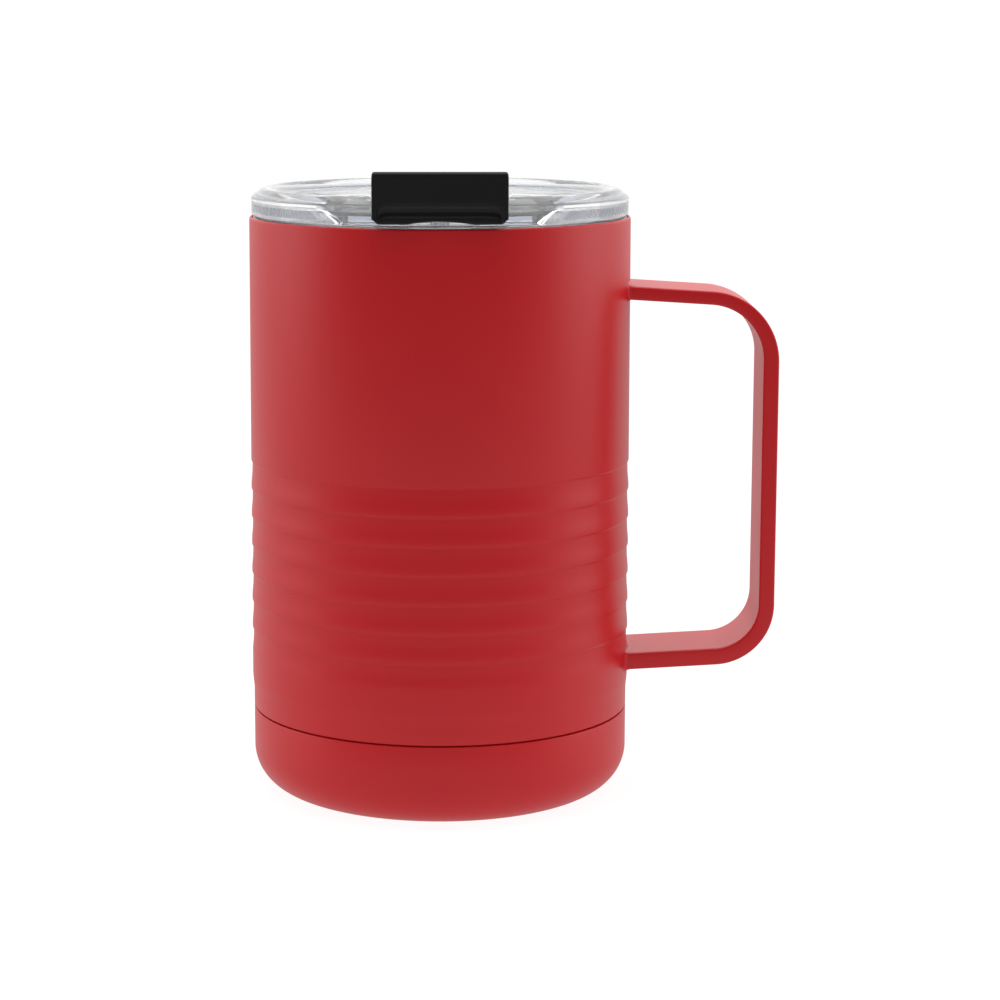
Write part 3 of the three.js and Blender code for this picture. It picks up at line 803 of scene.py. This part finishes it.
def hinge_ear(side):
    """An ear with a round top, standing on the channel's floor."""
    foot = 135.9 * mm
    outline = [(hinge_y - 4.6 * mm, foot), (hinge_y + 4.6 * mm, foot)]
    outline += arc(hinge_y, hinge_z, barrel_radius, 8, 172, 16)
    bm = bmesh.new()
    start = ear_inner if side > 0 else -ear_inner - ear_thickness
    verts = [bm.verts.new((start, y, z)) for y, z in outline]
    face = bm.faces.new(verts)
    grown = bmesh.ops.extrude_face_region(bm, geom=[face])["geom"]
    moved = [part for part in grown if isinstance(part, bmesh.types.BMVert)]
    bmesh.ops.translate(bm, verts=moved, vec=(ear_thickness, 0, 0))
    bmesh.ops.recalc_face_normals(bm, faces=bm.faces)
    rims = [
        edge for edge in bm.edges
        if abs(edge.verts[0].co.x - edge.verts[1].co.x) < 1e-6
        and max(vert.co.z for vert in edge.verts) > foot + 0.1 * mm
    ]
    bmesh.ops.bevel(
        bm, geom=rims, offset=0.3 * mm, offset_type="OFFSET", affect="EDGES", segments=3,
        profile=0.5, material=-1, clamp_overlap=True,
    )
    return bm


def pin_cutter(radius):
    bm = bmesh.new()
    bmesh.ops.create_cone(
        bm, cap_ends=True, segments=48, radius1=radius, radius2=radius, depth=42 * mm,
        matrix=Matrix.Translation((0, hinge_y, hinge_z)) @ Matrix.Rotation(math.pi / 2, 4, "Y"),
    )
    return bm


def carved(base, tools):
    """A mesh with tools joined to it or cut from it in turn, each (operation, bmesh)."""
    def loose(name, bm):
        mesh = bpy.data.meshes.new(name)
        bm.to_mesh(mesh)
        bm.free()
        made = bpy.data.objects.new(name, mesh)
        bpy.context.collection.objects.link(made)
        return made

    work = loose("work", base)
    for operation, tool_bm in tools:
        tool = loose("tool", tool_bm)
        cut = work.modifiers.new("cut", "BOOLEAN")
        cut.operation = operation
        cut.solver = "EXACT"
        cut.object = tool
        bpy.context.view_layer.update()
        seen = work.evaluated_get(bpy.context.evaluated_depsgraph_get())
        result = bpy.data.meshes.new_from_object(seen)
        work.modifiers.clear()
        work.data = result
        bpy.data.objects.remove(tool)
    bm = bmesh.new()
    bm.from_mesh(work.data)
    bpy.data.objects.remove(work)
    bmesh.ops.remove_doubles(bm, verts=bm.verts, dist=2e-6)
    bmesh.ops.dissolve_degenerate(bm, edges=bm.edges, dist=1e-6)
    bmesh.ops.recalc_face_normals(bm, faces=bm.faces)
    return bm


def clear(name, tint, rough, ripple, grain_scale, clearness):
    """Clear plastic whose gloss drifts slightly and whose surface ripples very softly."""
    material = bpy.data.materials.new(name)
    material.use_nodes = True
    tree = material.node_tree
    shader = tree.nodes["Principled BSDF"]
    shader.inputs["Base Color"].default_value = (*tint, 1)
    shader.inputs["IOR"].default_value = 1.54
    shader.inputs["Transmission Weight"].default_value = clearness
    grain = tree.nodes.new("ShaderNodeGroup")
    grain.node_tree = surface_grain
    grain.inputs["Grain Scale"].default_value = grain_scale
    grain.inputs["Patch Scale"].default_value = 60
    spread = tree.nodes.new("ShaderNodeMapRange")
    spread.inputs["To Min"].default_value = rough[0]
    spread.inputs["To Max"].default_value = rough[1]
    bump = tree.nodes.new("ShaderNodeBump")
    bump.inputs["Strength"].default_value = 0.4
    bump.inputs["Distance"].default_value = ripple
    tree.links.new(grain.outputs["Patch"], spread.inputs["Value"])
    tree.links.new(grain.outputs["Grain"], bump.inputs["Height"])
    tree.links.new(spread.outputs["Result"], shader.inputs["Roughness"])
    tree.links.new(bump.outputs["Normal"], shader.inputs["Normal"])
    return material


clear_plastic = clear("clear_plastic", (0.985, 0.99, 0.995), (0.0, 0.04), 0.001 * mm, 90, 0.87)
frosted_plastic = clear("frosted_plastic", (0.64, 0.69, 0.82), (0.2, 0.6), 0.6 * mm, 1300, 1)

dish = carved(dish_cutter(), [
    ("DIFFERENCE", channel_rows(lid_skin, lid_under - 2 * mm, plateau_z)),
    ("DIFFERENCE", sector(
        [(27 * mm, lid_under - 2 * mm), (36 * mm, lid_under - 2 * mm), (36 * mm, plateau_z),
         (27 * mm, plateau_z)], -90 - well_angle - 3, -90 + well_angle + 3, 48,
    )),
])
slot_rows = [(lid_under - 1 * mm, 0), (136.2 * mm, 0), (136.6 * mm, 0.12 * mm), (well_z, 0.4 * mm)]
slot_rows += [(well_z + 1 * mm, 0.4 * mm)]
slot_cutter = slug(*slot_half, 2.98 * mm, slot_y, slot_rows)
vent_cutter = slug(vent_radius, vent_radius, vent_radius * 0.98, vent_y, slot_rows)
lid_bm = carved(turned(lid_outline(), lid_steps), [
    ("DIFFERENCE", dish),
    ("DIFFERENCE", rim_hollow_cutter()),
    ("DIFFERENCE", well_cutter()),
    ("DIFFERENCE", channel_rows(0, well_z, 145 * mm)),
    ("UNION", hinge_ear(1)),
    ("UNION", hinge_ear(-1)),
    ("DIFFERENCE", slot_cutter),
    ("DIFFERENCE", vent_cutter),
    ("DIFFERENCE", pin_cutter(1.1 * mm)),
])
for face in lid_bm.faces:
    centre = face.calc_center_median()
    reach = math.hypot(centre.x, centre.y)
    turn = abs(math.degrees(math.atan2(centre.x, -centre.y)))
    in_hollow = 39.5 * mm < reach < 41.65 * mm and frost_low < centre.z < 138.25 * mm
    face.material_index = int(in_hollow and turn > well_angle + 1)
lid_piece = piece(
    "lid_top_moulding", lid_bm, clear_plastic, "lid", replaced=["lid_top"], sharp=28,
)
lid_piece.data.materials.append(frosted_plastic)
lid_even = lid_piece.modifiers.new("even_shading", "WEIGHTED_NORMAL")
lid_even.keep_sharp = True


# ---- Lid plug -------------------------------------------------------------------------------------
# The clear skirt welded under the lid. It steps in for the gasket and its lower edge is rounded.
plug_low, plug_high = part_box("lid_plug")
plug_radius = plug_high.y
plug_bore = 36.6 * mm
groove_radius = 37.9 * mm
groove_low, groove_high = 124.3 * mm, 128.1 * mm

plug_outline = [(plug_bore, plug_high.z), (plug_bore, plug_low.z + 0.9 * mm)]
plug_outline += arc(plug_bore + 0.9 * mm, plug_low.z + 0.9 * mm, 0.9 * mm, 180, 270, 5)
plug_outline += arc(plug_radius - 0.9 * mm, plug_low.z + 0.9 * mm, 0.9 * mm, -90, 0, 5)
plug_outline += [(plug_radius, groove_low), (groove_radius, groove_low)]
plug_outline += [(groove_radius, groove_high), (plug_radius, groove_high)]
plug_outline += [(plug_radius, plug_high.z)]
piece(
    "lid_plug_skirt", turned(plug_outline, lid_steps, closed=True), clear_plastic, "lid",
    replaced=["lid_plug"],
)


# ---- Lid gasket -----------------------------------------------------------------------------------
# A soft silicone ring in the plug's groove, with two lips that press on the cup's bore.
gasket_low, gasket_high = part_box("lid_gasket")
gasket_lip = gasket_high.y
gasket_inner = groove_radius + 0.3 * mm
lip_round = 0.3 * mm

gasket_outline = [(gasket_inner, gasket_high.z), (gasket_inner, gasket_low.z)]
gasket_outline += [(gasket_inner + 0.6 * mm, gasket_low.z)]
gasket_outline += arc(gasket_lip - lip_round, gasket_low.z + 0.65 * mm, lip_round, -60, 60, 6)
gasket_outline += arc(gasket_lip - 0.35 * mm, (gasket_low.z + gasket_high.z) / 2, 0.35 * mm, 220, 140, 4)
gasket_outline += arc(gasket_lip - lip_round, gasket_high.z - 0.65 * mm, lip_round, -60, 60, 6)
gasket_outline += [(gasket_inner + 0.6 * mm, gasket_high.z)]
gasket_rubber = grained(
    "gasket_rubber", dark=(0.78, 0.80, 0.80), light=(0.86, 0.87, 0.87), rough=(0.35, 0.5),
    grain_scale=1800, grain_depth=0.02 * mm, patch_scale=50,
)
gasket_rubber.node_tree.nodes["Principled BSDF"].inputs["Transmission Weight"].default_value = 0.35
piece(
    "lid_gasket_ring", turned(gasket_outline, lid_steps, closed=True), gasket_rubber, "gasket",
    replaced=["lid_gasket"],
)


# ---- Hinge pin ------------------------------------------------------------------------------------
# A short rod of bright steel with slightly domed ends, pressed through the two ears.
pin_radius = (pin_high.z - pin_low.z) / 2
pin_outline = [(0, pin_low.x)]
pin_outline += arc(pin_radius - 0.25 * mm, pin_low.x + 0.25 * mm, 0.25 * mm, -90, 0, 4)
pin_outline += arc(pin_radius - 0.25 * mm, pin_high.x - 0.25 * mm, 0.25 * mm, 0, 90, 4)
pin_outline += [(0, pin_high.x)]
pin_bm = turned(pin_outline, 40)
bmesh.ops.rotate(
    pin_bm, verts=pin_bm.verts, cent=(0, 0, 0), matrix=Matrix.Rotation(math.pi / 2, 3, "Y"),
)
bmesh.ops.translate(pin_bm, verts=pin_bm.verts, vec=(0, hinge_y, hinge_z))
piece("hinge_pin_rod", pin_bm, bare_steel, "lid", replaced=["hinge_pin"])


# ---- Lever ----------------------------------------------------------------------------------------
# A black plastic lever, moulded with a light satin grain. It turns on the pin, and its tall front hangs
# over the lid's rim, with a scoop and a lip for the finger and a shallow arch under the lip.
lever_low, lever_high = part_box("flip_lever")
lever_half = lever_high.x
lever_front = lever_low.y
lever_top = lever_high.z
lever_lip = lever_low.z
tab_back = -flange_radius - 0.4 * mm
lever_stations = 64
scoop_high = 139.95 * mm
scoop_half = 13.75 * mm


def curve_between(points, x):
    """The height of a smooth curve through (x, height) points."""
    if x <= points[0][0]:
        return points[0][1]
    for (x0, y0), (x1, y1) in zip(points, points[1:]):
        if x <= x1:
            return y0 + (y1 - y0) * smooth_step(x0, x1, x)
    return points[-1][1]


scoop_section = [(0, 0), (0.25, 0.5), (0.9, 0.9), (1.7, 1.0), (2.4, 0.85), (2.85, 0.5), (3.1, 0.42)]


def lever_outline():
    """The lever's side view as (y, z) points, clockwise from the underside of its barrel."""
    points = arc(hinge_y, hinge_z, barrel_radius, -90, 97, 20)
    slope_start, slope_end = points[-1], (lever_front + 0.9 * mm, lever_top)
    for i in range(1, 10):
        t = i / 10
        points.append((
            slope_start[0] + (slope_end[0] - slope_start[0]) * t,
            slope_start[1] + (slope_end[1] - slope_start[1]) * t,
        ))
    points += arc(lever_front + 0.9 * mm, lever_top - 0.9 * mm, 0.9 * mm, 90, 180, 6)
    height = lever_top - 1.7 * mm
    while height > scoop_high + 0.3 * mm:
        points.append((lever_front, height))
        height -= 0.8 * mm
    height = scoop_high + 0.1 * mm
    while height > lever_lip + 0.35 * mm:
        points.append((lever_front, height))
        height -= 0.14 * mm
    points += arc(lever_front + 0.3 * mm, lever_lip + 0.3 * mm, 0.3 * mm, 180, 270, 4)
    points += [(tab_back, lever_lip), (tab_back, 137.5 * mm), (tab_back, 139.4 * mm)]
    points += [(tab_back + 0.1 * mm, 140.2 * mm), (tab_back + 0.4 * mm, 140.9 * mm)]
    points += [(tab_back + 1 * mm, 141.5 * mm), (tab_back + 1.8 * mm, 141.7 * mm)]
    points += [(-37 * mm, 141.7 * mm), (-23 * mm, 139.85 * mm), (-9 * mm, 138 * mm)]
    return points


def flip_lever():
    outline = lever_outline()
    bm = bmesh.new()
    verts = [bm.verts.new((-lever_half, y, z)) for y, z in outline]
    faces = [bm.faces.new(verts)]
    across = [i / lever_stations for i in range(lever_stations + 1)]
    across = [math.sin(math.pi * (t - 0.5)) * lever_half for t in across]
    for start, end in zip(across, across[1:]):
        grown = bmesh.ops.extrude_face_region(bm, geom=faces)["geom"]
        faces = [part for part in grown if isinstance(part, bmesh.types.BMFace)]
        moved = [part for part in grown if isinstance(part, bmesh.types.BMVert)]
        bmesh.ops.translate(bm, verts=moved, vec=(end - start, 0, 0))
    bmesh.ops.recalc_face_normals(bm, faces=bm.faces)
    middle_y = -25 * mm
    side_round = 0.35 * mm
    top_corner = 0.7 * mm
    foot_corner = 1.3 * mm
    for vert in bm.verts:
        x, y, z = vert.co
        side = abs(x)
        if y < -44 * mm and z < lever_top - 1 * mm:
            drop = max(side - 11.2 * mm, 0) / (scoop_half - 11.2 * mm)
            below = (scoop_high - z) / mm - drop ** 2
            fade = 1 - smooth_step(scoop_half - 0.6 * mm, scoop_half, side)
            vert.co.y += curve_between(scoop_section, below) * fade * mm
        if z < lever_lip + 1 * mm and y < tab_back + 1e-6:
            rise = 0.6 * mm * (1 - (side / (7.2 * mm)) ** 2) if side < 7.2 * mm else 0
            corner = max(side - (lever_half - foot_corner), 0)
            vert.co.z += max(rise, corner) * (1 - (z - lever_lip) / (1 * mm))
        inset = side - (lever_half - top_corner)
        if inset > 0 and z > lever_top - 3 * mm:
            cut = top_corner - math.sqrt(max(top_corner ** 2 - inset ** 2, 0))
            vert.co.z -= cut * (z - (lever_top - 3 * mm)) / (3 * mm)
        edge = side - (lever_half - side_round)
        if edge > 0:
            draw = side_round - math.sqrt(max(side_round ** 2 - edge ** 2, 0))
            if y < middle_y:
                vert.co.y += draw * smooth_step(-43 * mm, -45 * mm, y) * 0.8
            if z > 137 * mm:
                vert.co.z -= draw * 0.8
    return bm


def ear_notch(side):
    """A round-cornered block that leaves room for an ear beside the lever's barrel."""
    middle = side * (ear_inner - 0.3 * mm + 4 * mm)
    outline = round_rectangle(4 * mm, 7 * mm, 1 * mm)
    rows = [(middle + u, hinge_y + 1.4 * mm + v) for u, v in outline]
    return stacked([[(x, y, z) for x, y in rows] for z in (130 * mm, 150 * mm)])


black_plastic = grained(
    "black_plastic", dark=(0.007, 0.007, 0.0072), light=(0.010, 0.010, 0.0103), rough=(0.42, 0.52),
    grain_scale=2200, grain_depth=0.03 * mm, patch_scale=40, gloss=0.4,
)
boss_rows = [(138.95 * mm, -0.3 * mm), (139.2 * mm, 0), (141.6 * mm, 0)]
lever_bm = carved(flip_lever(), [
    ("UNION", slug(8 * mm, 3.4 * mm, 3.3 * mm, slot_y, boss_rows)),
    ("DIFFERENCE", ear_notch(1)),
    ("DIFFERENCE", ear_notch(-1)),
])
piece(
    "flip_lever_moulding", lever_bm, black_plastic, "lever",
    replaced=["flip_lever"], sharp=40,
)


# ---- Lever seals ----------------------------------------------------------------------------------
# Two grey silicone pads pushed on under the lever: a long one that closes the sip slot and a round one
# that closes the vent.
sip_low, sip_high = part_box("sip_seal")
vent_low, vent_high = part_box("vent_seal")
grey_rubber = grained(
    "grey_rubber", dark=(0.10, 0.105, 0.11), light=(0.14, 0.145, 0.15), rough=(0.5, 0.65),
    grain_scale=2400, grain_depth=0.02 * mm, patch_scale=80,
)

sip_rows = [(sip_low.z, -1.8 * mm), (sip_low.z + 0.15 * mm, -1.5 * mm), (137.05 * mm, -1.4 * mm)]
sip_rows += [(137.1 * mm, -0.4 * mm), (137.25 * mm, -0.12 * mm), (137.5 * mm, 0)]
sip_rows += [(138.5 * mm, 0), (138.75 * mm, -0.12 * mm), (sip_high.z, -0.4 * mm)]
sip_half = ((sip_high.x - sip_low.x) / 2, (sip_high.y - sip_low.y) / 2)
piece(
    "sip_seal_pad", slug(*sip_half, sip_half[1] - 0.02 * mm, slot_y, sip_rows), grey_rubber, "lever",
    replaced=["sip_seal"],
)

vent_outline = [(0, vent_low.z), (1.0 * mm, vent_low.z), (1.2 * mm, vent_low.z + 0.2 * mm)]
vent_outline += [(1.2 * mm, 137.1 * mm), (2.6 * mm, 137.1 * mm), (2.8 * mm, 137.3 * mm)]
vent_outline += [(2.8 * mm, 137.8 * mm), (2.6 * mm, vent_high.z), (0, vent_high.z)]
vent_bm = turned(vent_outline, 48)
bmesh.ops.translate(vent_bm, verts=vent_bm.verts, vec=(0, vent_y, 0))
piece("vent_seal_pad", vent_bm, grey_rubber, "lever", replaced=["vent_seal"])
